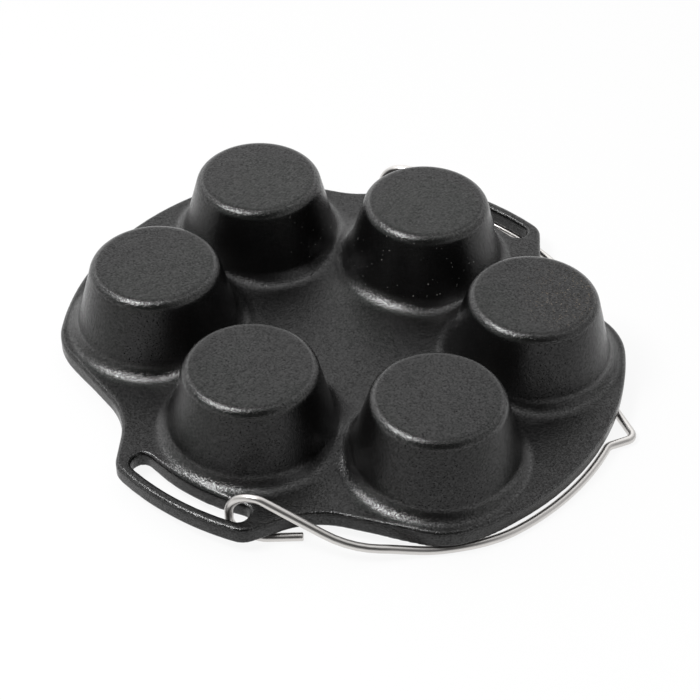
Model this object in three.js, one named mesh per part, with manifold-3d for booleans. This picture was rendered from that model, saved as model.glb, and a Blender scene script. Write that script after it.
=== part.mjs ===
// Cast iron muffin pan with a hooked wire bail, lying upside down on a flat surface.
// The closed ends of the cups point up (+Z), the two slotted ears lie on the Y axis,
// and the bail is folded down on the +X side. All sizes are in millimetres and degrees.

import * as THREE from 'three';
import { mergeVertices } from 'three/addons/utils/BufferGeometryUtils.js';
import Module from 'manifold-3d';

// Plate
const PLATE_THICKNESS = 9; // of the plate and its ears
const PLATE_RIM = 6.8; // plate left outside the outermost cup roots
const PLATE_CORNER_RADIUS = 32; // where the round rim turns into the flank beside an ear
const FLANK_SLOPE = 18.7; // angle between a flank and the X axis
const EDGE_ROUNDING = 1.8;

// Cups
const CUP_HEIGHT = 36.9; // closed end above the plate
const CUP_TOP_RADIUS = 29.78; // at the closed end, before its edge is rounded
const CUP_DRAFT = 14.7;
const CUP_WALL = 4;
const CUP_END_THICKNESS = 4.5;
const CUP_TOP_FILLET = 5.4;
const CUP_INSIDE_FILLET = 5; // in the hollow, at its closed end
const CUP_ROOT_FILLET = 6;
const CUP_MOUTH_ROUNDING = 1.5;
const END_CUP_Y = 72; // the cup beside each ear
const SIDE_CUP_X = 78.4; // the other four cups
const SIDE_CUP_Y = 41;
const SADDLE_HEIGHT = 4.5; // raised iron between neighbouring cups
const SADDLE_HALF_WIDTH = 13;

// Ears
const EAR_STRUT = 8.3; // iron between the end of the slot and the side of the ear
const EAR_BAR = 5.1; // iron outside the slot
const EAR_SIDE_SLOPE = 59.7; // angle between the side of an ear and the X axis
const EAR_CORNER_RADIUS = 10;
const EAR_ROOT_RADIUS = 40; // hollow curve from an ear into the flank beside it
const SLOT_LAND = 5; // plate between the end cup's root and the slot
const SLOT_WIDTH = 10.2;
const SLOT_HALF_LENGTH = 31.5;
const SLOT_CORNER_RADIUS = 4.5;
const SLOT_CHAMFER = 1.8;

// Bail wire
const WIRE_DIAMETER = 4;
const WIRE_CLEARANCE = 0.45; // between the plate and the wire that it lies on
const HINGE_ABOVE_EAR_MIDDLE = 2.2;
const HINGE_FRONT_SHIFT = [-0.4, 2.2]; // from the middle of the strut that each hook holds
const HINGE_BACK_SHIFT = [-4.7, -4];
const HOOK_PLAY = 1.5; // room in a hook beyond what the turning strut takes up
const HOOK_FOOT_BEND = 8; // from a hook's lower leg into its back
const HOOK_SHOULDER = 2; // from the hinge line to the end of the hook's flat top
const HOOK_SHOULDER_BEND = 7;
const TAIL_LENGTH = 20.2; // free end of a hook past the hinge line
const TAIL_BEND_START = 4;
const FRONT_TAIL_INSET = 5.6; // how far each tail's tip leans towards the pan
const BACK_TAIL_INSET = 3;
const TAIL_BEND = 10;
const KNEE_ANGLE = 54; // where the bow leaves the floor for the front hook
const KNEE_RISE = 5.2;
const KNEE_RISE_ANGLE = 18;
const KNEE_BEND = 55;
const KNEE_TURN = 31; // how far the wire turns at the knee
const HEEL_REACH = 29; // straight stretch of the back hook's lower leg
const HEEL_BEND = 30;
const BOW_END_ANGLE = 88;
const BOW_OVERHANG = 1.2; // bow outside the plate's rim, before the kink
const BOW_TUCK = 4.9; // how much nearer the pan's centre the bow lies after the kink
const BOW_PAST_SLOT = 1.6; // bow outside the slots' outer edge, where it passes the ears
const BOW_DRAW_START = 21; // the bow draws in between these angles from the X axis
const BOW_DRAW_END = 48;
const KINK_START = 7.9; // finger kink in the bow
const KINK_ANGLE = 12.15;
const KINK_END = 19.2;
const KINK_REACH = 9.9;
const KINK_TIP_BEND = 4;
const KINK_FOOT_BEND = 5;

// Fineness of the facets
const CUP_SIDES = 32;
const SADDLE_SIDES = 20;
const OUTLINE_STEPS = 3;
const WIRE_SIDES = 10;
const WIRE_STEP = 2.5;
const WIRE_BEND_STEP = 6; // degrees of a bend per facet
const WIRE_DIVISIONS = 2000; // for walking along the wire at an even pace
const WELD_DISTANCE = 0.001;

const wasm = await Module();
wasm.setup();

const radians = THREE.MathUtils.degToRad;
const wireRadius = WIRE_DIAMETER / 2;

// Heights above the surface that the bail lies on
const plateBottom = WIRE_DIAMETER + WIRE_CLEARANCE;
const plateTop = plateBottom + PLATE_THICKNESS;
const cupTop = plateTop + CUP_HEIGHT;

// Sizes in plan that follow from the cups
const cupSlope = Math.tan(radians(CUP_DRAFT));
const cupRootRadius = CUP_TOP_RADIUS + CUP_HEIGHT * cupSlope;
const plateRadius = Math.hypot(SIDE_CUP_X, SIDE_CUP_Y) + cupRootRadius + PLATE_RIM;
const slotInnerRadius = END_CUP_Y + cupRootRadius + SLOT_LAND;
const slotOuterRadius = slotInnerRadius + SLOT_WIDTH;
const earEndRadius = slotOuterRadius + EAR_BAR;

const cupCentres = [
  [0, -END_CUP_Y],
  [SIDE_CUP_X, -SIDE_CUP_Y],
  [SIDE_CUP_X, SIDE_CUP_Y],
  [0, END_CUP_Y],
  [-SIDE_CUP_X, SIDE_CUP_Y],
  [-SIDE_CUP_X, -SIDE_CUP_Y],
];

// A straight edge in plan, kept as its outward direction and its distance from the centre
function edgeThrough(x, y, outwardDegrees) {
  const angle = radians(outwardDegrees);
  const distance = x * Math.cos(angle) + y * Math.sin(angle);
  return { angle, distance };
}

const flank = edgeThrough(SIDE_CUP_X, SIDE_CUP_Y, 90 - FLANK_SLOPE);
flank.distance += cupRootRadius + PLATE_RIM;

const slotMiddleRadius = (slotInnerRadius + slotOuterRadius) / 2;
const slotEndY = Math.sqrt(slotMiddleRadius ** 2 - SLOT_HALF_LENGTH ** 2);
const earSide = edgeThrough(SLOT_HALF_LENGTH, slotEndY, 90 - EAR_SIDE_SLOPE);
earSide.distance += EAR_STRUT;

// The point at given distances along two edges' outward directions
function crossing(first, firstDistance, second, secondDistance) {
  const turn = Math.sin(second.angle - first.angle);
  const x = (firstDistance * Math.sin(second.angle) - secondDistance * Math.sin(first.angle)) / turn;
  const y = (secondDistance * Math.cos(first.angle) - firstDistance * Math.cos(second.angle)) / turn;
  return { x, y };
}

// Centre of the arc that rounds the corner between an edge and a circle about the pan's centre
function cornerCentre(edge, circleRadius, radius) {
  const along = edge.distance - radius;
  const across = Math.sqrt((circleRadius - radius) ** 2 - along ** 2);
  const side = edge.angle > radians(45) ? 1 : -1;
  const x = along * Math.cos(edge.angle) + side * across * Math.sin(edge.angle);
  const y = along * Math.sin(edge.angle) - side * across * Math.cos(edge.angle);
  return { x, y, angle: Math.atan2(y, x) };
}

const plateCorner = cornerCentre(flank, plateRadius, PLATE_CORNER_RADIUS);
const earCorner = cornerCentre(earSide, earEndRadius, EAR_CORNER_RADIUS);
const earRoot = crossing(
  flank, flank.distance + EAR_ROOT_RADIUS,
  earSide, earSide.distance + EAR_ROOT_RADIUS,
);

function arc(centre, radius, start, end, clockwise = false) {
  return { x: centre.x, y: centre.y, radius, start, end, clockwise };
}

function mirrorArc(item) {
  const centre = { x: -item.x, y: item.y };
  return arc(centre, item.radius, Math.PI - item.end, Math.PI - item.start, item.clockwise);
}

function halfTurnArc(item) {
  const centre = { x: -item.x, y: -item.y };
  return arc(centre, item.radius, item.start + Math.PI, item.end + Math.PI, item.clockwise);
}

// A closed outline of arcs joined by straight edges
function outline(arcs) {
  const shape = new THREE.Shape();
  for (const item of arcs) {
    shape.absarc(item.x, item.y, item.radius, item.start, item.end, item.clockwise);
  }
  shape.closePath();
  return shape;
}

const panCentre = { x: 0, y: 0 };

// The plate's outline: one quarter, its mirror image, and both turned half a circle
function plateOutline() {
  const quarter = [
    arc(panCentre, plateRadius, 0, plateCorner.angle),
    arc(plateCorner, PLATE_CORNER_RADIUS, plateCorner.angle, flank.angle),
    arc(earRoot, EAR_ROOT_RADIUS, flank.angle + Math.PI, earSide.angle + Math.PI, true),
    arc(earCorner, EAR_CORNER_RADIUS, earSide.angle, earCorner.angle),
    arc(panCentre, earEndRadius, earCorner.angle, Math.PI / 2),
  ];
  const half = [...quarter, ...quarter.map(mirrorArc).reverse()];
  return outline([...half, ...half.map(halfTurnArc)]);
}

// The slot follows the ear's curve and has round corners
function slotOutline() {
  const radius = SLOT_CORNER_RADIUS;
  const side = SLOT_HALF_LENGTH - radius;
  const outerY = Math.sqrt((slotOuterRadius - radius) ** 2 - side ** 2);
  const innerY = Math.sqrt((slotInnerRadius + radius) ** 2 - side ** 2);
  const outerAngle = Math.atan2(outerY, side);
  const innerAngle = Math.atan2(innerY, side);
  const outerCorner = { x: side, y: outerY };
  const innerCorner = { x: side, y: Math.min(innerY, outerY) };
  const quarterOuter = [
    arc(outerCorner, radius, 0, outerAngle),
    arc(panCentre, slotOuterRadius, outerAngle, Math.PI / 2),
  ];
  const innerArcs = [
    arc(panCentre, slotInnerRadius, Math.PI - innerAngle, innerAngle, true),
    arc(innerCorner, radius, innerAngle - Math.PI, 0),
  ];
  const leftInner = arc({ x: -side, y: innerCorner.y }, radius, Math.PI, 2 * Math.PI - innerAngle);
  return outline([...quarterOuter, ...quarterOuter.map(mirrorArc).reverse(), leftInner, ...innerArcs]);
}

// A closed solid from a three.js geometry
function solid(geometry) {
  const bare = geometry.clone();
  bare.deleteAttribute('normal');
  bare.deleteAttribute('uv');
  const merged = mergeVertices(bare, WELD_DISTANCE);
  const corners = merged.index.array;
  const triangles = [];
  for (let i = 0; i < corners.length; i += 3) {
    const [a, b, c] = [corners[i], corners[i + 1], corners[i + 2]];
    if (a !== b && b !== c && c !== a) {
      triangles.push(a, b, c);
    }
  }
  const vertProperties = new Float32Array(merged.attributes.position.array);
  const triVerts = new Uint32Array(triangles);
  return new wasm.Manifold(new wasm.Mesh({ numProp: 3, vertProperties, triVerts }));
}

function geometryFrom(manifold) {
  const mesh = manifold.getMesh();
  const geometry = new THREE.BufferGeometry();
  const positions = new Float32Array(mesh.vertProperties);
  const corners = new Uint32Array(mesh.triVerts);
  geometry.setAttribute('position', new THREE.BufferAttribute(positions, 3));
  geometry.setIndex(new THREE.BufferAttribute(corners, 1));
  geometry.computeVertexNormals();
  return geometry;
}

// The plate with its ears, a flat slab with rounded edges
function plateSlab() {
  const geometry = new THREE.ExtrudeGeometry(plateOutline(), {
    depth: PLATE_THICKNESS - 2 * EDGE_ROUNDING,
    bevelEnabled: true,
    bevelThickness: EDGE_ROUNDING,
    bevelSize: EDGE_ROUNDING,
    bevelOffset: -EDGE_ROUNDING,
    bevelSegments: 2,
    curveSegments: OUTLINE_STEPS,
  });
  geometry.translate(0, 0, plateBottom + EDGE_ROUNDING);
  return solid(geometry);
}

function straightSlab(shape, bottom, thickness) {
  const geometry = new THREE.ExtrudeGeometry(shape, {
    depth: thickness,
    bevelEnabled: false,
    curveSegments: OUTLINE_STEPS,
  });
  geometry.translate(0, 0, bottom);
  return solid(geometry);
}

// Points on an arc in a radius and height profile
function profileArc(centreRadius, centreHeight, radius, startDegrees, endDegrees, steps) {
  const points = [];
  for (let i = 0; i <= steps; i += 1) {
    const angle = radians(THREE.MathUtils.lerp(startDegrees, endDegrees, i / steps));
    const x = centreRadius + radius * Math.cos(angle);
    const height = centreHeight + radius * Math.sin(angle);
    points.push(new THREE.Vector2(x, height));
  }
  return points;
}

function revolve(profile, [x, y]) {
  const geometry = new THREE.LatheGeometry(profile, CUP_SIDES);
  geometry.rotateX(Math.PI / 2);
  geometry.translate(x, y, 0);
  return solid(geometry);
}

// Distance from a corner's tip to where a fillet between the draft and a level face starts
function filletSetback(radius, cornerDegrees) {
  return radius / Math.tan(radians(cornerDegrees / 2));
}

// Outside of a cup, from inside the plate up to the closed end
function cupOutside(centre) {
  const rootRadius = cupRootRadius + filletSetback(CUP_ROOT_FILLET, 90 + CUP_DRAFT);
  const topRadius = CUP_TOP_RADIUS - filletSetback(CUP_TOP_FILLET, 90 + CUP_DRAFT);
  const middle = plateTop - PLATE_THICKNESS / 2;
  const profile = [
    new THREE.Vector2(0, middle),
    new THREE.Vector2(rootRadius, middle),
    ...profileArc(rootRadius, plateTop + CUP_ROOT_FILLET, CUP_ROOT_FILLET, 270, 180 + CUP_DRAFT, 3),
    ...profileArc(topRadius, cupTop - CUP_TOP_FILLET, CUP_TOP_FILLET, CUP_DRAFT, 90, 4),
    new THREE.Vector2(0, cupTop),
  ];
  return revolve(profile, centre);
}

// Hollow of a cup, from below the plate up to the inside of the closed end
function cupInside(centre) {
  const wallAcross = CUP_WALL / Math.cos(radians(CUP_DRAFT));
  const endHeight = cupTop - CUP_END_THICKNESS;
  const endRadius = CUP_TOP_RADIUS + CUP_END_THICKNESS * cupSlope - wallAcross;
  const mouthRadius = endRadius + (endHeight - plateBottom) * cupSlope;
  const topRadius = endRadius - filletSetback(CUP_INSIDE_FILLET, 90 + CUP_DRAFT);
  const lipRadius = mouthRadius + filletSetback(CUP_MOUTH_ROUNDING, 90 + CUP_DRAFT);
  const below = plateBottom - PLATE_THICKNESS;
  const profile = [
    new THREE.Vector2(0, below),
    new THREE.Vector2(lipRadius, below),
    ...profileArc(lipRadius, plateBottom + CUP_MOUTH_ROUNDING, CUP_MOUTH_ROUNDING, 270, 180 + CUP_DRAFT, 2),
    ...profileArc(topRadius, endHeight - CUP_INSIDE_FILLET, CUP_INSIDE_FILLET, CUP_DRAFT, 90, 3),
    new THREE.Vector2(0, endHeight),
  ];
  return revolve(profile, centre);
}

// Raised iron between two neighbouring cups, a flattened ball half sunk in the plate
function saddle(first, second) {
  const spacing = Math.hypot(second[0] - first[0], second[1] - first[1]);
  const geometry = new THREE.SphereGeometry(1, SADDLE_SIDES, SADDLE_SIDES / 2);
  const halfLength = spacing / 2 - CUP_TOP_RADIUS + CUP_WALL;
  geometry.scale(halfLength, SADDLE_HALF_WIDTH, SADDLE_HEIGHT);
  geometry.rotateZ(Math.atan2(second[1] - first[1], second[0] - first[0]));
  geometry.translate((first[0] + second[0]) / 2, (first[1] + second[1]) / 2, plateTop);
  return solid(geometry);
}

// Cut for the slot of the ear at +Y, wider at both faces to break its edges
function slotCut() {
  const shape = slotOutline();
  const through = straightSlab(shape, plateBottom - PLATE_THICKNESS, 3 * PLATE_THICKNESS);
  const countersink = (bottom) => {
    const geometry = new THREE.ExtrudeGeometry(shape, {
      depth: PLATE_THICKNESS,
      bevelThickness: SLOT_CHAMFER,
      bevelSize: SLOT_CHAMFER,
      bevelSegments: 1,
      curveSegments: OUTLINE_STEPS,
    });
    geometry.translate(0, 0, bottom);
    return solid(geometry);
  };
  return through.add(countersink(plateTop)).add(countersink(plateBottom - PLATE_THICKNESS));
}

function makeCasting() {
  const slot = slotCut();
  let casting = plateSlab();
  cupCentres.forEach((centre, i) => {
    const next = cupCentres[(i + 1) % cupCentres.length];
    casting = casting.add(cupOutside(centre)).add(saddle(centre, next));
  });
  casting = casting.subtract(slot).subtract(slot.rotate([0, 0, 180]));
  for (const centre of cupCentres) {
    casting = casting.subtract(cupInside(centre));
  }
  return geometryFrom(casting);
}

// The hinge line of the bail runs from the front strut to the back strut
const hingeHeight = (plateBottom + plateTop) / 2 + HINGE_ABOVE_EAR_MIDDLE;
const strutX = SLOT_HALF_LENGTH + EAR_STRUT / 2 * Math.cos(earSide.angle);
const strutY = slotEndY + EAR_STRUT / 2 * Math.sin(earSide.angle);
const [frontShiftX, frontShiftY] = HINGE_FRONT_SHIFT;
const [backShiftX, backShiftY] = HINGE_BACK_SHIFT;
const hingeFront = new THREE.Vector3(strutX + frontShiftX, -strutY + frontShiftY, hingeHeight);
const hingeBack = new THREE.Vector3(-strutX + backShiftX, strutY + backShiftY, hingeHeight);
const hingeLine = hingeBack.clone().sub(hingeFront).normalize();
const hookwise = new THREE.Vector3(hingeLine.y, -hingeLine.x, 0);

// A point near a hook: along the hook, along the hinge line, and its height above the surface
function hookPoint(hinge, along, beside, height) {
  const point = hinge.clone();
  point.addScaledVector(hookwise, along).addScaledVector(hingeLine, beside);
  point.z = height;
  return point;
}

// The bow's distance from the pan's centre: past the rim before the kink, partly under the rim
// after it, and under the ears at both ends
function bowRadius(degrees) {
  const drawn = THREE.MathUtils.smoothstep(Math.abs(degrees), BOW_DRAW_START, BOW_DRAW_END);
  const tuck = degrees > KINK_ANGLE ? BOW_TUCK : 0;
  return THREE.MathUtils.lerp(plateRadius + BOW_OVERHANG - tuck, slotOuterRadius + BOW_PAST_SLOT, drawn);
}

function bowPoint(degrees, outwards = 0) {
  const angle = radians(degrees);
  const radius = bowRadius(degrees) + outwards;
  const rise = THREE.MathUtils.smoothstep(-degrees, KNEE_ANGLE - KNEE_RISE_ANGLE, KNEE_ANGLE);
  const height = wireRadius + KNEE_RISE * rise;
  return new THREE.Vector3(radius * Math.cos(angle), radius * Math.sin(angle), height);
}

// The wire's centre line as corners, each with the radius it is bent to
function bailCorners() {
  const lower = wireRadius;
  const strutTurn = EAR_STRUT + wireRadius + HOOK_PLAY;
  const upper = plateTop + strutTurn;
  const crownBend = (upper - lower) / 2;
  const corners = [];
  const bend = (point, radius) => corners.push({ point, radius });

  bend(hookPoint(hingeFront, TAIL_LENGTH, FRONT_TAIL_INSET, lower), 0);
  bend(hookPoint(hingeFront, TAIL_BEND_START, 0, lower), TAIL_BEND);
  bend(hookPoint(hingeFront, -strutTurn, 0, lower), HOOK_FOOT_BEND);
  bend(hookPoint(hingeFront, -strutTurn, 0, upper), crownBend);
  bend(hookPoint(hingeFront, HOOK_SHOULDER, 0, upper), HOOK_SHOULDER_BEND);
  bend(bowPoint(-KNEE_ANGLE), KNEE_BEND);

  const bowDegrees = (length) => THREE.MathUtils.radToDeg(length / plateRadius);
  const bowStep = bowDegrees(WIRE_STEP);
  const bowStart = -KNEE_ANGLE + bowDegrees(KNEE_BEND * Math.tan(radians(KNEE_TURN / 2))) + bowStep;
  const footRun = bowDegrees(KINK_FOOT_BEND);
  for (let angle = bowStart; angle < KINK_START - footRun; angle += bowStep) {
    bend(bowPoint(angle), 0);
  }
  bend(bowPoint(KINK_START), KINK_FOOT_BEND);
  bend(bowPoint(KINK_ANGLE, KINK_REACH), KINK_TIP_BEND);
  bend(bowPoint(KINK_END), KINK_FOOT_BEND);
  for (let angle = KINK_END + footRun; angle < BOW_END_ANGLE; angle += bowStep) {
    bend(bowPoint(angle), 0);
  }

  bend(hookPoint(hingeBack, HEEL_REACH, 0, lower), HEEL_BEND);
  bend(hookPoint(hingeBack, -strutTurn, 0, lower), HOOK_FOOT_BEND);
  bend(hookPoint(hingeBack, -strutTurn, 0, upper), crownBend);
  bend(hookPoint(hingeBack, TAIL_BEND_START, 0, upper), TAIL_BEND);
  bend(hookPoint(hingeBack, TAIL_LENGTH, -BACK_TAIL_INSET, upper), 0);
  return corners;
}

// Points along a corner's arc, or the corner itself where the wire isn't bent
function cornerPoints(before, corner, after) {
  if (corner.radius === 0) {
    return [corner.point];
  }
  const back = before.clone().sub(corner.point).normalize();
  const ahead = after.clone().sub(corner.point).normalize();
  const half = back.angleTo(ahead) / 2;
  const setback = corner.radius / Math.tan(half);
  const centreWay = back.clone().add(ahead).normalize();
  const centre = corner.point.clone().addScaledVector(centreWay, corner.radius / Math.sin(half));
  const start = corner.point.clone().addScaledVector(back, setback).sub(centre);
  const end = corner.point.clone().addScaledVector(ahead, setback).sub(centre);
  const sweep = Math.PI - 2 * half;
  const axis = start.clone().cross(end).normalize();
  const count = Math.max(2, Math.ceil(sweep / radians(WIRE_BEND_STEP)));
  const points = [];
  for (let i = 0; i <= count; i += 1) {
    points.push(start.clone().applyAxisAngle(axis, sweep * i / count).add(centre));
  }
  return points;
}

// The bent wire's centre line, walked at an even pace
class WireLine extends THREE.Curve {
  constructor(corners) {
    super();
    this.arcLengthDivisions = WIRE_DIVISIONS;
    this.points = corners.flatMap((corner, i) => {
      const before = corners[Math.max(i - 1, 0)].point;
      const after = corners[Math.min(i + 1, corners.length - 1)].point;
      return cornerPoints(before, corner, after);
    });
    this.distances = [0];
    for (let i = 1; i < this.points.length; i += 1) {
      this.distances.push(this.distances[i - 1] + this.points[i].distanceTo(this.points[i - 1]));
    }
    this.total = this.distances[this.distances.length - 1];
  }

  getPoint(share, target = new THREE.Vector3()) {
    const wanted = share * this.total;
    let i = 1;
    while (i < this.points.length - 1 && this.distances[i] < wanted) {
      i += 1;
    }
    const step = this.distances[i] - this.distances[i - 1];
    return target.lerpVectors(this.points[i - 1], this.points[i], (wanted - this.distances[i - 1]) / step);
  }
}

function makeBail() {
  const line = new WireLine(bailCorners());
  const section = new THREE.Shape();
  for (let i = 0; i < WIRE_SIDES; i += 1) {
    const angle = 2 * Math.PI * i / WIRE_SIDES;
    const point = [wireRadius * Math.cos(angle), wireRadius * Math.sin(angle)];
    if (i === 0) {
      section.moveTo(...point);
    } else {
      section.lineTo(...point);
    }
  }
  section.closePath();
  const geometry = new THREE.ExtrudeGeometry(section, {
    steps: Math.round(line.total / WIRE_STEP),
    extrudePath: line,
    bevelEnabled: false,
  });
  return geometryFrom(solid(geometry));
}

const castIron = new THREE.MeshStandardMaterial({ color: '#2a2a2b', roughness: 0.6, metalness: 0.45 });
const steelWire = new THREE.MeshStandardMaterial({ color: '#b7b5b0', roughness: 0.3, metalness: 1 });

const casting = new THREE.Mesh(makeCasting(), castIron);
casting.name = 'pan_casting';
const bail = new THREE.Mesh(makeBail(), steelWire);
bail.name = 'wire_bail';

// The origin is on the surface, midway between the outermost points of the pan and its bail
const assembly = new THREE.Group();
assembly.add(casting, bail);
const extent = new THREE.Box3().setFromObject(assembly);
const middle = extent.getCenter(new THREE.Vector3());
assembly.position.set(-middle.x, -middle.y, -extent.min.z);

const muffinPan = new THREE.Group();
muffinPan.add(assembly);

export default muffinPan;
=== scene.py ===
"""Cast iron muffin pan with a wire bail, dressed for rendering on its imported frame.

The casting is modelled as a distance field, so that the cups, plate and ears flow into each other as poured
iron does, and the bail as a round wire swept along its bends. Geometry is worked out in millimetres, with the
pan's centre at x = y = 0 and the floor at z = 0, and is moved to the frame's metres at the end.
"""

import math

import bpy
import numpy as np
from mathutils import Matrix, Vector


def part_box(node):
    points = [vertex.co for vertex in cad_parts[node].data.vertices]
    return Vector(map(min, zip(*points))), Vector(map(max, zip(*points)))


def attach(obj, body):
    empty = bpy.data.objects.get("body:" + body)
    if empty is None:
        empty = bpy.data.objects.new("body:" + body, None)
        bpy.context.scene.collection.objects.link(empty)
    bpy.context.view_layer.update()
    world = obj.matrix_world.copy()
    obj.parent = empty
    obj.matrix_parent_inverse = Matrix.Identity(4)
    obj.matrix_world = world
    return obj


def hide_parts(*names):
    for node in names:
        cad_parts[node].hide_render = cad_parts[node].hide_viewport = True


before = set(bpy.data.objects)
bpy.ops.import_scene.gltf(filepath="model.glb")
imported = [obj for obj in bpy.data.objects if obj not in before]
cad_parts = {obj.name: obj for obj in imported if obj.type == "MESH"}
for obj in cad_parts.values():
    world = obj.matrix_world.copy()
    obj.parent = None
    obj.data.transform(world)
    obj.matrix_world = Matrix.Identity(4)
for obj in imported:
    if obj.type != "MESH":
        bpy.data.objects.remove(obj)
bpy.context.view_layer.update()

# Sizes of the casting, in millimetres and degrees
PLATE_THICKNESS = 9.0
PLATE_RIM = 6.8
PLATE_CORNER_RADIUS = 32.0
FLANK_SLOPE = 18.7
EDGE_ROUNDING = 2.0
CUP_HEIGHT = 36.9
CUP_TOP_RADIUS = 29.78
CUP_DRAFT = math.radians(14.7)
CUP_WALL = 4.0
CUP_END_THICKNESS = 4.5
CUP_TOP_FILLET = 5.4
CUP_INSIDE_FILLET = 5.0
CUP_ROOT_FILLET = 6.5
CUP_MOUTH_ROUNDING = 1.5
END_CUP_Y = 72.0
SIDE_CUP_X = 78.4
SIDE_CUP_Y = 41.0
SADDLE_BLEND = 14.0
EAR_STRUT = 8.3
EAR_BAR = 5.1
EAR_SIDE_SLOPE = 59.7
EAR_CORNER_RADIUS = 10.0
EAR_ROOT_RADIUS = 40.0
SLOT_LAND = 5.0
SLOT_WIDTH = 10.2
SLOT_HALF_LENGTH = 31.5
SLOT_CORNER_RADIUS = 4.5

# Sizes of the bail, in millimetres and degrees
WIRE_RADIUS = 1.98
WIRE_CENTRE_HEIGHT = 2.0
WIRE_CLEARANCE = 0.45
HINGE_FRONT_SHIFT = (-0.4, 2.2)
HINGE_BACK_SHIFT = (-4.7, -4.0)
HOOK_PLAY = 1.5
HOOK_FOOT_BEND = 8.0
HOOK_SHOULDER = 2.0
HOOK_SHOULDER_BEND = 7.0
TAIL_LENGTH = 20.2
TAIL_BEND_START = 4.0
FRONT_TAIL_INSET = 5.6
BACK_TAIL_INSET = 3.0
TAIL_BEND = 10.0
KNEE_ANGLE = 54.0
KNEE_RISE = 5.2
KNEE_RISE_ANGLE = 18.0
KNEE_BEND = 55.0
KNEE_TURN = math.radians(31)
HEEL_REACH = 29.0
HEEL_BEND = 30.0
BOW_END_ANGLE = 88.0
BOW_OVERHANG = 1.2
BOW_TUCK = 4.9
BOW_PAST_SLOT = 1.6
BOW_DRAW_START = 21.0
BOW_DRAW_END = 48.0
KINK_START = 7.9
KINK_ANGLE = 12.15
KINK_END = 19.2
KINK_REACH = 9.6
KINK_TIP_BEND = 4.0
KINK_FOOT_BEND = 5.0
WIRE_END_BREAK = 0.35

# Fineness of the meshes, in millimetres
OUTLINE_STEP = 1.2
PLAN_CELL = 0.5
PLAN_MARGIN = 8.0  # kept beyond the plate's rim
PAST_CENTRE = 5.1  # how far a quarter's outline runs past the pan's centre
POINTS_AT_ONCE = 20000
TINY = 1e-12  # takes the place of zero in a division
CASTING_CELL = 1.3
SLOPE_STEP = 0.05
SETTLING_ROUNDS = 3
LONGEST_SHIFT = 0.4  # of a point in one settling round
LEAST_STEEPNESS = 0.05
WIRE_SIDES = 20
WIRE_STEP = 1.0
BEND_STEP = math.radians(4)
BOW_START_POINTS = 60
BOW_END_POINTS = 70
KNEE_GAP = 1.0  # degrees from the knee's bend to the bow's first point

# Looks of the iron, with noise scales per metre
GRAIN_SCALE = 1300
LUMP_SCALE = 380
WAVE_SCALE = 70
PATCH_SCALE = 24
CHIP_SCALE = 620
SPECK_SCALE = 900
GRAIN_HEIGHT = 0.00022  # metres
LUMP_SHARE = 0.25
CURVE_SHINE = 2.5  # rounded edges and fillets against flats and walls

# Looks of the wire
MARK_SCALE = 2.2
MARK_STRETCH = (18, 9, 1)  # per metre along the wire, and per turn round it

# White tent round the pan, and the floor under it, in metres
TENT_LEVEL = 0.55
PANEL_LEVEL = 1.5
PANEL_WAY = (-0.55, 0.5, 0.67)  # to the back left
PANEL_FADE = (0.4, 0.98)
OPENING_LEVEL = 0.02
OPENING_FADE = (0.7, 0.9)
LIGHT_AIM = (0, 0, 0.02)
FLOOR_SIZE = 40
FLOOR_DROP = 0.0002
FLOOR_GREY = 0.8
FLOOR_WHITENESS = 0.9

# Camera, as fitted to the photograph, in millimetres
CAMERA_PLACE = (374.7, -555.6, 615.95)
CAMERA_AZIMUTH = math.radians(33.67)
CAMERA_ELEVATION = math.radians(42.33)
CAMERA_ROLL = math.radians(0.83)
CAMERA_LENS = 97.25
CAMERA_SENSOR = 36

# Heights and plan sizes that follow from the sizes above
PLATE_BOTTOM = 2 * WIRE_CENTRE_HEIGHT + WIRE_CLEARANCE
PLATE_TOP = PLATE_BOTTOM + PLATE_THICKNESS
PLATE_MIDDLE = PLATE_BOTTOM + PLATE_THICKNESS / 2
CUP_TOP = PLATE_TOP + CUP_HEIGHT
CUP_SLOPE = math.tan(CUP_DRAFT)
CUP_ROOT_RADIUS = CUP_TOP_RADIUS + CUP_HEIGHT * CUP_SLOPE
PLATE_RADIUS = math.hypot(SIDE_CUP_X, SIDE_CUP_Y) + CUP_ROOT_RADIUS + PLATE_RIM
SLOT_INNER_RADIUS = END_CUP_Y + CUP_ROOT_RADIUS + SLOT_LAND
SLOT_OUTER_RADIUS = SLOT_INNER_RADIUS + SLOT_WIDTH
EAR_END_RADIUS = SLOT_OUTER_RADIUS + EAR_BAR
CUP_CENTRES = (
    (0, -END_CUP_Y), (SIDE_CUP_X, -SIDE_CUP_Y), (SIDE_CUP_X, SIDE_CUP_Y),
    (0, END_CUP_Y), (-SIDE_CUP_X, SIDE_CUP_Y), (-SIDE_CUP_X, -SIDE_CUP_Y),
)

casting_low, casting_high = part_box("pan_casting")
PAN_CENTRE_X = (casting_low.x + casting_high.x) / 2


def to_frame(points):
    """Millimetres about the pan's centre to metres in the frame."""
    return np.asarray(points) / 1000 + np.array([PAN_CENTRE_X, 0, 0])


# Outlines in plan
def edge_through(x, y, outward_degrees, margin):
    """A straight edge, as its outward angle and its distance from the pan's centre."""
    angle = math.radians(outward_degrees)
    return angle, x * math.cos(angle) + y * math.sin(angle) + margin


SLOT_MIDDLE_RADIUS = (SLOT_INNER_RADIUS + SLOT_OUTER_RADIUS) / 2
SLOT_END_Y = math.sqrt(SLOT_MIDDLE_RADIUS**2 - SLOT_HALF_LENGTH**2)
FLANK = edge_through(SIDE_CUP_X, SIDE_CUP_Y, 90 - FLANK_SLOPE, CUP_ROOT_RADIUS + PLATE_RIM)
EAR_SIDE = edge_through(SLOT_HALF_LENGTH, SLOT_END_Y, 90 - EAR_SIDE_SLOPE, EAR_STRUT)


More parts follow.
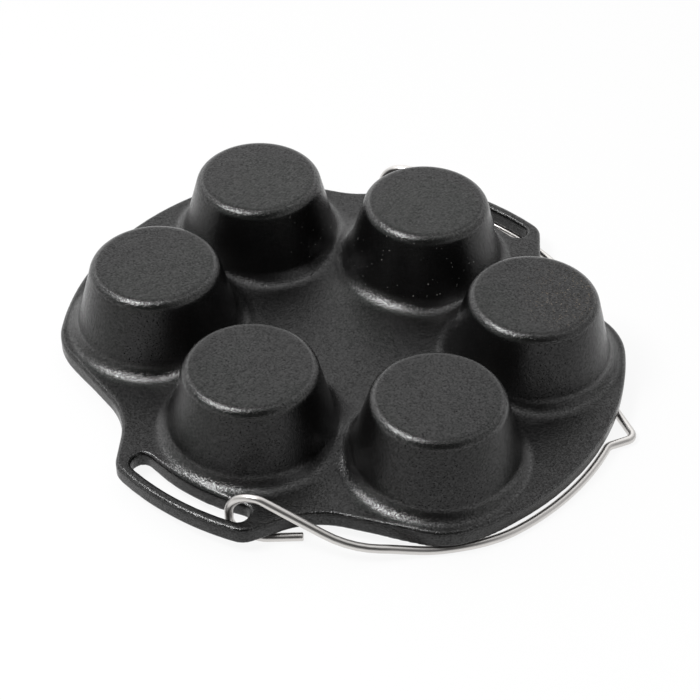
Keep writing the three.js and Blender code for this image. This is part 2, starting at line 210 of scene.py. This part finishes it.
def corner_centre(edge, circle_radius, radius, side):
    """Centre of the arc that rounds the corner between an edge and a circle about the pan's centre."""
    angle, distance = edge
    along = distance - radius
    across = side * math.sqrt((circle_radius - radius) ** 2 - along**2)
    x = along * math.cos(angle) + across * math.sin(angle)
    y = along * math.sin(angle) - across * math.cos(angle)
    return x, y


def crossing(first, second, offset):
    """Where two edges cross once both are moved outwards by an offset."""
    angles = np.array([[math.cos(angle), math.sin(angle)] for angle, _ in (first, second)])
    distances = np.array([first[1] + offset, second[1] + offset])
    return tuple(np.linalg.solve(angles, distances))


def arc_points(centre, radius, start, end):
    """Points about one outline step apart along an arc."""
    count = max(4, int(abs(end - start) * radius / OUTLINE_STEP))
    angles = np.linspace(start, end, count)
    return np.stack([centre[0] + radius * np.cos(angles), centre[1] + radius * np.sin(angles)], 1)


def quarter_outline():
    """The plate's outline in the quarter where x and y are positive, closed just past the pan's centre."""
    corner = corner_centre(FLANK, PLATE_RADIUS, PLATE_CORNER_RADIUS, 1)
    corner_angle = math.atan2(corner[1], corner[0])
    root = crossing(FLANK, EAR_SIDE, EAR_ROOT_RADIUS)
    ear = corner_centre(EAR_SIDE, EAR_END_RADIUS, EAR_CORNER_RADIUS, -1)
    ear_angle = math.atan2(ear[1], ear[0])
    half_turn = math.pi
    past_axis = math.radians(3)
    return np.concatenate([
        [(-PAST_CENTRE, -PAST_CENTRE)],
        arc_points((0, 0), PLATE_RADIUS, -past_axis, corner_angle),
        arc_points(corner, PLATE_CORNER_RADIUS, corner_angle, FLANK[0]),
        arc_points(root, EAR_ROOT_RADIUS, FLANK[0] + half_turn, EAR_SIDE[0] + half_turn),
        arc_points(ear, EAR_CORNER_RADIUS, EAR_SIDE[0], ear_angle),
        arc_points((0, 0), EAR_END_RADIUS, ear_angle, math.pi / 2 + past_axis),
    ])


def slot_outline():
    """The slot of the ear at +Y."""
    radius = SLOT_CORNER_RADIUS
    side = SLOT_HALF_LENGTH - radius
    outer = (side, math.sqrt((SLOT_OUTER_RADIUS - radius) ** 2 - side**2))
    inner = (side, math.sqrt((SLOT_INNER_RADIUS + radius) ** 2 - side**2))
    outer_angle = math.atan2(outer[1], outer[0])
    inner_angle = math.atan2(inner[1], inner[0])
    right = np.concatenate([
        arc_points((0, 0), SLOT_INNER_RADIUS, math.pi / 2, inner_angle),
        arc_points(inner, radius, inner_angle - math.pi, 0),
        arc_points(outer, radius, 0, outer_angle),
        arc_points((0, 0), SLOT_OUTER_RADIUS, outer_angle, math.pi / 2),
    ])
    return np.concatenate([right, right[::-1] * [-1, 1]])


def polygon_distance(points, polygon):
    """Signed distance of each point to a polygon, negative inside."""
    step = np.roll(polygon, -1, axis=0) - polygon
    step_square = np.maximum((step**2).sum(1), TINY)
    result = np.empty(len(points))
    for start in range(0, len(points), POINTS_AT_ONCE):
        chunk = points[start:start + POINTS_AT_ONCE]
        away = chunk[:, None] - polygon[None]
        share = np.clip((away * step).sum(2) / step_square, 0, 1)
        nearest = np.sqrt(((away - share[..., None] * step) ** 2).sum(2).min(1))
        start_above = polygon[None, :, 1] > chunk[:, 1:]
        end_above = (polygon + step)[None, :, 1] > chunk[:, 1:]
        rise = np.where(step[:, 1] == 0, TINY, step[:, 1])
        meet = polygon[:, 0] + step[:, 0] * (chunk[:, 1:] - polygon[:, 1]) / rise
        inside = ((start_above != end_above) & (chunk[:, :1] < meet)).sum(1) % 2 == 1
        result[start:start + POINTS_AT_ONCE] = np.where(inside, -nearest, nearest)
    return result


class PlanDistance:
    """A polygon's distance, kept on a fine grid of one quarter and read back for all four."""

    def __init__(self, polygon):
        self.size = int((PLATE_RADIUS + PLAN_MARGIN) / PLAN_CELL)
        axis = np.arange(self.size) * PLAN_CELL
        grid = np.stack(np.meshgrid(axis, axis, indexing="ij"), 2)
        self.values = polygon_distance(grid.reshape(-1, 2), polygon).reshape(self.size, self.size)

    def __call__(self, x, y):
        across = np.abs(x) / PLAN_CELL
        along = np.abs(y) / PLAN_CELL
        i = np.minimum(across.astype(int), self.size - 2)
        j = np.minimum(along.astype(int), self.size - 2)
        right = across - i
        beyond = along - j
        near_side = self.values[i, j] * (1 - right) + self.values[i + 1, j] * right
        far_side = self.values[i, j + 1] * (1 - right) + self.values[i + 1, j + 1] * right
        return near_side * (1 - beyond) + far_side * beyond


rim_distance = PlanDistance(quarter_outline())
slot_distance = PlanDistance(slot_outline())


# The casting's distance field
def smooth_step(value, low, high):
    """0 below a range, 1 above it and an eased rise in between."""
    share = np.clip((value - low) / (high - low), 0, 1)
    return share * share * (3 - 2 * share)


def soft_union(a, b, width):
    """Union that swells where both surfaces come within the width of each other."""
    share = np.clip(0.5 + 0.5 * (b - a) / width, 0, 1)
    return b + (a - b) * share - width * share * (1 - share)


def filleted_union(a, b, radius):
    """Union of two fields with a fillet where they meet."""
    round_part = np.hypot(np.maximum(radius - a, 0), np.maximum(radius - b, 0))
    return np.maximum(np.minimum(a, b), radius) - round_part


def rounded_cut(a, b, radius):
    """Intersection of two fields with its edge rounded."""
    round_part = np.hypot(np.maximum(radius + a, 0), np.maximum(radius + b, 0))
    return np.minimum(np.maximum(a, b), -radius) + round_part


def tapered_round(radius, z, top_radius, top, fillet):
    """An upward tapering round body with a filleted end, going down without limit."""
    side = (radius - top_radius - (top - z) * CUP_SLOPE) * math.cos(CUP_DRAFT)
    end = z - top
    setback = fillet / math.tan((math.pi / 2 + CUP_DRAFT) / 2)
    out = radius - (top_radius - setback)
    up = z - (top - fillet)
    in_fillet = (out > 0) & (up > out * CUP_SLOPE)
    return np.where(in_fillet, np.hypot(out, up) - fillet, np.maximum(side, end))


def casting_distance(x, y, z):
    """The casting's field: negative in the iron, and close to the distance from its surface."""
    plan = np.maximum(rim_distance(x, y), -slot_distance(x, y))
    slab = rounded_cut(plan, np.abs(z - PLATE_MIDDLE) - PLATE_THICKNESS / 2, EDGE_ROUNDING)

    wall = CUP_WALL / math.cos(CUP_DRAFT)
    hollow_radius = CUP_TOP_RADIUS + CUP_END_THICKNESS * CUP_SLOPE - wall
    cups = None
    hollows = None
    for centre_x, centre_y in CUP_CENTRES:
        radius = np.hypot(x - centre_x, y - centre_y)
        cup = tapered_round(radius, z, CUP_TOP_RADIUS, CUP_TOP, CUP_TOP_FILLET)
        hollow = tapered_round(radius, z, hollow_radius, CUP_TOP - CUP_END_THICKNESS, CUP_INSIDE_FILLET)
        cups = cup if cups is None else soft_union(cups, cup, SADDLE_BLEND)
        hollows = hollow if hollows is None else np.minimum(hollows, hollow)

    # The cups end inside the plate, and the plate stays flat below them
    cups = np.maximum(cups, PLATE_MIDDLE - z)
    solid = np.maximum(filleted_union(slab, cups, CUP_ROOT_FILLET), PLATE_BOTTOM - z)
    return rounded_cut(solid, -hollows, CUP_MOUTH_ROUNDING)


def casting_slope(points):
    """The field's direction of steepest rise at each point."""
    slope = np.empty_like(points)
    for axis in range(3):
        shift = np.zeros(3)
        shift[axis] = SLOPE_STEP
        ahead = casting_distance(*(points + shift).T)
        behind = casting_distance(*(points - shift).T)
        slope[:, axis] = (ahead - behind) / (2 * SLOPE_STEP)
    return slope


CELL_CORNERS = [(i, j, k) for i in (0, 1) for j in (0, 1) for k in (0, 1)]


def at_corner(array, corner):
    """The part of a grid that holds one corner of every cell."""
    return array[tuple(slice(i, i + size - 1) for i, size in zip(corner, array.shape))]


def crossing_places(field, crossed):
    """For each crossed cell, the mean of the places where its edges meet the surface, in grid cells."""
    values = {corner: at_corner(field, corner)[crossed] for corner in CELL_CORNERS}
    total = np.zeros((crossed.sum(), 3))
    hits = np.zeros(crossed.sum())
    for corner in CELL_CORNERS:
        for axis in range(3):
            if corner[axis] == 0:
                other = tuple(1 if i == axis else corner[i] for i in range(3))
                a, b = values[corner], values[other]
                hit = (a < 0) != (b < 0)
                share = np.where(hit, a / np.where(hit, a - b, 1), 0)
                place = np.tile(np.array(corner, float), (len(a), 1))
                place[:, axis] = share
                total += place * hit[:, None]
                hits += hit
    return np.argwhere(crossed) + total / hits[:, None]


def settled(points):
    """Points moved along the field's slope onto the casting's surface."""
    for _ in range(SETTLING_ROUNDS):
        slope = casting_slope(points)
        steepness = np.maximum((slope**2).sum(1), LEAST_STEEPNESS)
        shift = np.clip(casting_distance(*points.T) / steepness, -LONGEST_SHIFT, LONGEST_SHIFT)
        points = points - slope * shift[:, None]
    return points


def faces_across(inside, number):
    """A face across each grid edge with one end inside, through the points of the four cells round it."""
    cells = number.shape
    faces = []
    for axis in range(3):
        second, third = (axis + 1) % 3, (axis + 2) % 3
        starts = [slice(1, size) for size in cells]
        starts[axis] = slice(0, cells[axis])
        ends = list(starts)
        ends[axis] = slice(1, cells[axis] + 1)
        start, end = inside[tuple(starts)], inside[tuple(ends)]
        changes = np.argwhere(start != end)
        outwards = start[tuple(changes.T)]
        ring = []
        for up_second, up_third in ((0, 0), (1, 0), (1, 1), (0, 1)):
            cell = changes.copy()
            cell[:, second] += up_second
            cell[:, third] += up_third
            ring.append(number[tuple(cell.T)])
        quads = np.stack(ring, 1)
        quads[~outwards] = quads[~outwards][:, ::-1]
        faces.append(quads)
    return np.concatenate(faces)


def surface_mesh():
    """Points, normals and four-sided faces of the casting, with one point in each grid cell it crosses."""
    margin = 2 * CASTING_CELL
    low = np.array([-PLATE_RADIUS, -EAR_END_RADIUS, PLATE_BOTTOM]) - margin
    high = np.array([PLATE_RADIUS, EAR_END_RADIUS, CUP_TOP]) + margin
    counts = np.ceil((high - low) / CASTING_CELL).astype(int) + 1
    axes = [low[i] + CASTING_CELL * np.arange(counts[i]) for i in range(3)]
    x, y, z = np.meshgrid(*axes, indexing="ij", sparse=True)
    x, y = np.broadcast_arrays(x, y)
    field = casting_distance(x, y, z)
    inside = field < 0
    filled = sum(at_corner(inside, corner).astype(np.int8) for corner in CELL_CORNERS)
    crossed = (filled > 0) & (filled < len(CELL_CORNERS))
    number = np.full(crossed.shape, -1)
    number[crossed] = np.arange(crossed.sum())

    points = settled(low + CASTING_CELL * crossing_places(field, crossed))
    normals = casting_slope(points)
    normals /= np.linalg.norm(normals, axis=1)[:, None]
    return points, normals, faces_across(inside, number)


def mesh_object(name, points, faces, normals=None):
    """A smoothly shaded object, from points in millimetres about the pan's centre."""
    mesh = bpy.data.meshes.new(name)
    mesh.from_pydata(to_frame(points).tolist(), [], [list(face) for face in faces])
    mesh.polygons.foreach_set("use_smooth", np.ones(len(faces), bool))
    if normals is not None:
        mesh.normals_split_custom_set_from_vertices(normals.tolist())
    mesh.update()
    made = bpy.data.objects.new(name, mesh)
    bpy.context.scene.collection.objects.link(made)
    return made


# The bail's centre line
STRUT = np.array([  # middle of the strut at the +X end of the slot in the back ear
    SLOT_HALF_LENGTH + EAR_STRUT / 2 * math.cos(EAR_SIDE[0]),
    SLOT_END_Y + EAR_STRUT / 2 * math.sin(EAR_SIDE[0]),
])
HINGE_FRONT = STRUT * [1, -1] + HINGE_FRONT_SHIFT
HINGE_BACK = STRUT * [-1, 1] + HINGE_BACK_SHIFT
HINGE_LINE = (HINGE_BACK - HINGE_FRONT) / np.linalg.norm(HINGE_BACK - HINGE_FRONT)
HOOKWISE = np.array([HINGE_LINE[1], -HINGE_LINE[0]])


def hook_point(hinge, along, beside, height):
    """A point of a hook, measured from the hinge along its legs, beside them and above the floor."""
    return np.append(hinge + HOOKWISE * along + HINGE_LINE * beside, height)


def bow_radius(degrees):
    """The bow's distance from the pan's centre, smaller after the kink and under the ears."""
    drawn = smooth_step(abs(degrees), BOW_DRAW_START, BOW_DRAW_END)
    outer = PLATE_RADIUS + BOW_OVERHANG - (BOW_TUCK if degrees > KINK_ANGLE else 0)
    return outer + (SLOT_OUTER_RADIUS + BOW_PAST_SLOT - outer) * drawn


def bow_point(degrees, outwards=0.0):
    """A point of the bow at an angle about the pan's centre, higher towards the knee."""
    angle = math.radians(degrees)
    radius = bow_radius(degrees) + outwards
    rise = KNEE_RISE * smooth_step(-degrees, KNEE_ANGLE - KNEE_RISE_ANGLE, KNEE_ANGLE)
    return np.array([radius * math.cos(angle), radius * math.sin(angle), WIRE_CENTRE_HEIGHT + rise])


def bail_corners():
    """The wire's corners, each with the radius that it is bent to."""
    lower = WIRE_CENTRE_HEIGHT
    strut_turn = EAR_STRUT + WIRE_CENTRE_HEIGHT + HOOK_PLAY
    upper = PLATE_TOP + strut_turn
    crown_bend = (upper - lower) / 2
    knee_run = math.degrees(KNEE_BEND * math.tan(KNEE_TURN / 2) / PLATE_RADIUS)
    foot_run = math.degrees(KINK_FOOT_BEND / PLATE_RADIUS)
    bow_start = np.linspace(knee_run + KNEE_GAP - KNEE_ANGLE, KINK_START - foot_run, BOW_START_POINTS)
    bow_end = np.linspace(KINK_END + foot_run, BOW_END_ANGLE, BOW_END_POINTS)
    return [
        (hook_point(HINGE_FRONT, TAIL_LENGTH, FRONT_TAIL_INSET, lower), 0),
        (hook_point(HINGE_FRONT, TAIL_BEND_START, 0, lower), TAIL_BEND),
        (hook_point(HINGE_FRONT, -strut_turn, 0, lower), HOOK_FOOT_BEND),
        (hook_point(HINGE_FRONT, -strut_turn, 0, upper), crown_bend),
        (hook_point(HINGE_FRONT, HOOK_SHOULDER, 0, upper), HOOK_SHOULDER_BEND),
        (bow_point(-KNEE_ANGLE), KNEE_BEND),
        *[(bow_point(degrees), 0) for degrees in bow_start],
        (bow_point(KINK_START), KINK_FOOT_BEND),
        (bow_point(KINK_ANGLE, KINK_REACH), KINK_TIP_BEND),
        (bow_point(KINK_END), KINK_FOOT_BEND),
        *[(bow_point(degrees), 0) for degrees in bow_end],
        (hook_point(HINGE_BACK, HEEL_REACH, 0, lower), HEEL_BEND),
        (hook_point(HINGE_BACK, -strut_turn, 0, lower), HOOK_FOOT_BEND),
        (hook_point(HINGE_BACK, -strut_turn, 0, upper), crown_bend),
        (hook_point(HINGE_BACK, TAIL_BEND_START, 0, upper), TAIL_BEND),
        (hook_point(HINGE_BACK, TAIL_LENGTH, -BACK_TAIL_INSET, upper), 0),
    ]


def unit(vector):
    return vector / np.linalg.norm(vector)


def bent_corner(before, corner, after, radius):
    """Points round one bend of the wire."""
    back, ahead = unit(before - corner), unit(after - corner)
    half = math.acos(np.clip(back @ ahead, -1, 1)) / 2
    centre = corner + unit(back + ahead) * radius / math.sin(half)
    start = corner + back * radius / math.tan(half) - centre
    end = corner + ahead * radius / math.tan(half) - centre
    sweep = math.pi - 2 * half
    shares = np.linspace(0, 1, max(3, int(sweep / BEND_STEP)))
    weights = [(math.sin((1 - share) * sweep), math.sin(share * sweep)) for share in shares]
    return [centre + (start * a + end * b) / math.sin(sweep) for a, b in weights]


def bail_line():
    """The wire's centre line as evenly spaced points, with their distances along it."""
    corners = bail_corners()
    path = [corners[0][0]]
    for (before, _), (corner, radius), (after, _) in zip(corners, corners[1:], corners[2:]):
        path += bent_corner(before, corner, after, radius) if radius else [corner]
    path = np.array(path + [corners[-1][0]])
    run = np.concatenate([[0], np.cumsum(np.linalg.norm(np.diff(path, axis=0), axis=1))])
    even = np.linspace(0, run[-1], int(run[-1] / WIRE_STEP))
    return np.stack([np.interp(even, run, path[:, axis]) for axis in range(3)], 1), even


def make_bail():
    """A round wire swept along its centre line, with cut ends and their edges broken."""
    line, run = bail_line()
    tangents = np.gradient(line, axis=0)
    tangents /= np.linalg.norm(tangents, axis=1)[:, None]
    side = unit(np.cross(tangents[0], [0, 0, 1.0]))
    turns = np.linspace(0, 2 * math.pi, WIRE_SIDES, endpoint=False)
    rings = []
    for i, (place, tangent) in enumerate(zip(line, tangents)):
        side = unit(side - tangent * (side @ tangent))
        up = np.cross(tangent, side)
        circle = np.outer(np.cos(turns), side) + np.outer(np.sin(turns), up)
        if i in (0, len(line) - 1):
            inwards = tangent if i == 0 else -tangent
            face = place + circle * (WIRE_RADIUS - WIRE_END_BREAK)
            shoulder = place + inwards * WIRE_END_BREAK + circle * WIRE_RADIUS
            rings += [face, shoulder] if i == 0 else [shoulder, face]
        else:
            rings.append(place + circle * WIRE_RADIUS)
    points = np.concatenate(rings)
    faces = []
    for i in range(len(rings) - 1):
        here = i * WIRE_SIDES
        ahead = here + WIRE_SIDES
        for j in range(WIRE_SIDES):
            k = (j + 1) % WIRE_SIDES
            faces.append((here + j, here + k, ahead + k, ahead + j))
    last = (len(rings) - 1) * WIRE_SIDES
    faces.append(tuple(range(WIRE_SIDES))[::-1])
    faces.append(tuple(last + j for j in range(WIRE_SIDES)))
    made = mesh_object("bail_wire", points, faces)
    lay_lengthwise(made.data, len(rings), run[-1])
    return made


def lay_lengthwise(mesh, rings, length):
    """Coordinates for the drawing marks: metres along the wire, and turns round it."""
    layer = mesh.uv_layers.new(name="along_wire")
    for polygon in mesh.polygons:
        wraps = any(mesh.loops[i].vertex_index % WIRE_SIDES == WIRE_SIDES - 1 for i in polygon.loop_indices)
        for i in polygon.loop_indices:
            vertex = mesh.loops[i].vertex_index
            ring, turn = divmod(vertex, WIRE_SIDES)
            turn = WIRE_SIDES if wraps and turn == 0 else turn
            layer.data[i].uv = (ring / rings * length / 1000, turn / WIRE_SIDES)


# Materials
def add(tree, kind, inputs=None, **settings):
    """A node with its settings and inputs; an input is a value or another node's output."""
    node = tree.nodes.new(kind)
    for name, value in settings.items():
        setattr(node, name, value)
    for name, value in (inputs or {}).items():
        if isinstance(value, bpy.types.NodeSocket):
            tree.links.new(value, node.inputs[name])
        else:
            node.inputs[name].default_value = value
    return node


def new_material(name):
    material = bpy.data.materials.new(name)
    material.use_nodes = True
    tree = material.node_tree
    return material, tree, tree.nodes["Principled BSDF"]


def noise(tree, place, scale, detail, roughness):
    inputs = {"Vector": place, "Scale": scale, "Detail": detail, "Roughness": roughness}
    return add(tree, "ShaderNodeTexNoise", inputs).outputs["Fac"]


def between(tree, value, low, high, to_low=0.0, to_high=1.0):
    """A value spread from one range to another, and held at its ends."""
    inputs = {"Value": value, "From Min": low, "From Max": high, "To Min": to_low, "To Max": to_high}
    return add(tree, "ShaderNodeMapRange", inputs).outputs["Result"]


def maths(tree, operation, first, second):
    return add(tree, "ShaderNodeMath", {0: first, 1: second}, operation=operation).outputs["Value"]


def blend_colour(tree, share, first, second):
    """The first colour at a share of 0, the second at 1; each may be a value or another node's output."""
    node = tree.nodes.new("ShaderNodeMix")
    node.data_type = "RGBA"
    sockets = {socket.identifier: socket for socket in node.inputs}
    for identifier, value in (("Factor_Float", share), ("A_Color", first), ("B_Color", second)):
        if isinstance(value, bpy.types.NodeSocket):
            tree.links.new(value, sockets[identifier])
        else:
            sockets[identifier].default_value = value
    return {socket.identifier: socket for socket in node.outputs}["Result_Color"]


def grey(level, warmth=0.0):
    """A colour of one level, with more red and less blue where it is warm."""
    return (level * (1 + warmth), level, level * (1 - warmth), 1)


def near(tree, place, centre, reach, fade):
    """1 within a reach in millimetres of a point on the pan, fading to 0 beyond it."""
    gap = add(tree, "ShaderNodeVectorMath", {0: place, 1: to_frame(centre)}, operation="DISTANCE")
    return between(tree, gap.outputs["Value"], reach / 1000, (reach + fade) / 1000, 1.0, 0.0)


def product(tree, *shares):
    """Shares of 0 to 1 multiplied together."""
    result = shares[0]
    for share in shares[1:]:
        result = maths(tree, "MULTIPLY", result, share)
    return result


def seasoned_iron():
    """Sand-cast iron under a thin black seasoning: grainy, blotchy, and rubbed where it is touched."""
    black = grey(0.003)
    worn_black = grey(0.006, 0.03)
    bare_iron = grey(0.25, 0.03)
    tan = (0.12, 0.092, 0.06, 1)

    material, tree, shader = new_material("seasoned_iron")
    place = add(tree, "ShaderNodeTexCoord").outputs["Object"]
    normal = add(tree, "ShaderNodeNewGeometry").outputs["Normal"]
    upward = add(tree, "ShaderNodeSeparateXYZ", {"Vector": normal}).outputs["Z"]

    # Where the surface stands or lies, as its normal is level or points up
    on_walls = between(tree, upward, 0.3, 0.6, 1.0, 0.0)
    on_ends = between(tree, upward, 0.8, 0.95)
    off_flats = between(tree, upward, 0.9, 0.97, 1.0, 0.0)
    off_walls = between(tree, upward, 0.3, 0.5)

    grain = noise(tree, place, GRAIN_SCALE, 2, 0.6)
    lumps = noise(tree, place, LUMP_SCALE, 2, 0.5)
    patches = noise(tree, place, PATCH_SCALE, 4, 0.6)
    waves = noise(tree, place, WAVE_SCALE, 3, 0.5)
    tone = blend_colour(tree, between(tree, patches, 0.35, 0.68), black, worn_black)

    # Light chips on the walls of the back and the back right cup, on the side of the pan's middle
    chips = between(tree, noise(tree, place, CHIP_SCALE, 2, 0.5), 0.72, 0.75)
    back_wall = near(tree, place, (-10, END_CUP_Y - 36, 33), reach=26, fade=22)
    right_wall = near(tree, place, (SIDE_CUP_X - 38, SIDE_CUP_Y, 33), reach=20, fade=14)
    chipped_walls = maths(tree, "MAXIMUM", back_wall, right_wall)
    tone = blend_colour(tree, product(tree, chips, chipped_walls, on_walls), tone, bare_iron)

    # Tan specks on the closed end of the back right cup, where it is rubbed
    rubbed_spots = between(tree, noise(tree, place, SPECK_SCALE, 2, 0.6), 0.6, 0.75)
    rubbed_end = near(tree, place, (SIDE_CUP_X + 15, SIDE_CUP_Y + 9, CUP_TOP), reach=10, fade=18)
    tone = blend_colour(tree, product(tree, rubbed_spots, rubbed_end, on_ends), tone, tan)
    tree.links.new(tone, shader.inputs["Base Color"])
    tree.links.new(between(tree, waves, 0.3, 0.7, 0.17, 0.23), shader.inputs["Roughness"])

    # The grain breaks up the shine, and what is rounded shines more
    shine = between(tree, grain, 0.25, 0.75, 0.05, 0.61)
    polish = between(tree, product(tree, off_flats, off_walls), 0.0, 1.0, 1.0, CURVE_SHINE)
    tree.links.new(maths(tree, "MULTIPLY", shine, polish), shader.inputs["Specular IOR Level"])
    height = maths(tree, "ADD", grain, maths(tree, "MULTIPLY", lumps, LUMP_SHARE))
    bump = add(tree, "ShaderNodeBump", {"Strength": 1.0, "Distance": GRAIN_HEIGHT, "Height": height})
    tree.links.new(bump.outputs["Normal"], shader.inputs["Normal"])
    return material


def steel_wire():
    """Drawn steel wire with faint marks along it."""
    dull_steel = grey(0.55, 0.03)
    bright_steel = grey(0.72, 0.03)

    material, tree, shader = new_material("steel_wire")
    place = add(tree, "ShaderNodeTexCoord").outputs["UV"]
    stretched = add(tree, "ShaderNodeMapping", {"Vector": place, "Scale": MARK_STRETCH}).outputs["Vector"]
    marks = noise(tree, stretched, MARK_SCALE, 4, 0.6)
    tone = blend_colour(tree, between(tree, marks, 0.3, 0.7), dull_steel, bright_steel)
    tree.links.new(tone, shader.inputs["Base Color"])
    tree.links.new(between(tree, marks, 0.25, 0.75, 0.24, 0.38), shader.inputs["Roughness"])
    shader.inputs["Metallic"].default_value = 1.0
    return material


def white_floor():
    """Matt for the light that falls on it, and nearly plain white to the camera and in reflections."""
    material, tree, shader = new_material("white_floor")
    tree.nodes.remove(shader)
    rays = add(tree, "ShaderNodeLightPath").outputs
    seen = maths(tree, "MAXIMUM", rays["Is Camera Ray"], rays["Is Glossy Ray"])
    seen = maths(tree, "MAXIMUM", seen, rays["Is Transmission Ray"])
    matt = add(tree, "ShaderNodeBsdfDiffuse", {"Color": grey(FLOOR_GREY)}).outputs["BSDF"]
    bright = add(tree, "ShaderNodeEmission", {"Color": grey(1.0), "Strength": 1.0}).outputs["Emission"]
    pale = add(tree, "ShaderNodeMixShader", {0: FLOOR_WHITENESS, 1: matt, 2: bright}).outputs["Shader"]
    shown = add(tree, "ShaderNodeMixShader", {0: seen, 1: matt, 2: pale}).outputs["Shader"]
    tree.links.new(shown, tree.nodes["Material Output"].inputs["Surface"])
    return material


# The pieces
casting_points, casting_normals, casting_faces = surface_mesh()
casting = mesh_object("iron_casting", casting_points, casting_faces, casting_normals)
casting.data.materials.append(seasoned_iron())
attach(casting, "pan")
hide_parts("pan_casting")

bail = make_bail()
bail.data.materials.append(steel_wire())
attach(bail, "bail")
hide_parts("wire_bail")

# The stage
bpy.ops.mesh.primitive_plane_add(size=FLOOR_SIZE, location=(0, 0, -FLOOR_DROP))
floor = bpy.context.object
floor.name = "floor"
floor.data.materials.append(white_floor())


def camera_axes():
    """Right, up and back of the camera, turned by its roll."""
    azimuth, elevation = CAMERA_AZIMUTH, CAMERA_ELEVATION
    level = math.cos(elevation)
    back = Vector((math.sin(azimuth) * level, -math.cos(azimuth) * level, math.sin(elevation)))
    right = Vector((math.cos(azimuth), math.sin(azimuth), 0))
    up = back.cross(right)
    rolled_right = right * math.cos(CAMERA_ROLL) + up * math.sin(CAMERA_ROLL)
    rolled_up = up * math.cos(CAMERA_ROLL) - right * math.sin(CAMERA_ROLL)
    return rolled_right, rolled_up, back


def make_camera():
    """The camera that sees the pan as the photograph shows it."""
    data = bpy.data.cameras.new("camera")
    data.lens = CAMERA_LENS
    data.sensor_width = CAMERA_SENSOR
    data.sensor_fit = "HORIZONTAL"
    made = bpy.data.objects.new("camera", data)
    bpy.context.scene.collection.objects.link(made)
    turn = Matrix(camera_axes()).transposed().to_4x4()
    made.matrix_world = Matrix.Translation(to_frame(CAMERA_PLACE)) @ turn
    bpy.context.scene.camera = made


def soft_box(name, left, front, up, width, height, power):
    """A rectangular light aimed at the pan, placed in metres to the camera's left, towards it and up."""
    data = bpy.data.lights.new(name, "AREA")
    data.shape = "RECTANGLE"
    data.size = width
    data.size_y = height
    data.energy = power
    made = bpy.data.objects.new(name, data)
    bpy.context.scene.collection.objects.link(made)
    leftwards = Vector((-math.cos(CAMERA_AZIMUTH), -math.sin(CAMERA_AZIMUTH), 0))
    camerawards = Vector((math.sin(CAMERA_AZIMUTH), -math.cos(CAMERA_AZIMUTH), 0))
    made.location = leftwards * left + camerawards * front + Vector((0, 0, up))
    aim = Vector(LIGHT_AIM) - made.location
    made.rotation_euler = aim.to_track_quat("-Z", "Y").to_euler()


def facing(tree, way, direction):
    """1 where a way runs along a direction, 0 square to it and -1 against it."""
    return add(tree, "ShaderNodeVectorMath", {0: way, 1: direction}, operation="DOT_PRODUCT").outputs["Value"]


def make_world():
    """A white tent round the pan, brightest at the back left, with a dark opening for the camera."""
    world = bpy.data.worlds.new("studio")
    bpy.context.scene.world = world
    world.use_nodes = True
    tree = world.node_tree
    way = add(tree, "ShaderNodeTexCoord").outputs["Generated"]
    _, _, camera_way = camera_axes()
    panel = between(tree, facing(tree, way, PANEL_WAY), *PANEL_FADE)
    opening = between(tree, facing(tree, way, tuple(camera_way)), *OPENING_FADE)
    tent = blend_colour(tree, panel, grey(TENT_LEVEL), grey(PANEL_LEVEL))
    tent = blend_colour(tree, opening, tent, grey(OPENING_LEVEL))
    tree.links.new(tent, tree.nodes["Background"].inputs["Color"])


make_camera()
make_world()
soft_box("key_box", left=0.5, front=0.2, up=0.95, width=0.35, height=0.3, power=8)
bpy.context.scene.view_settings.view_transform = "Standard"
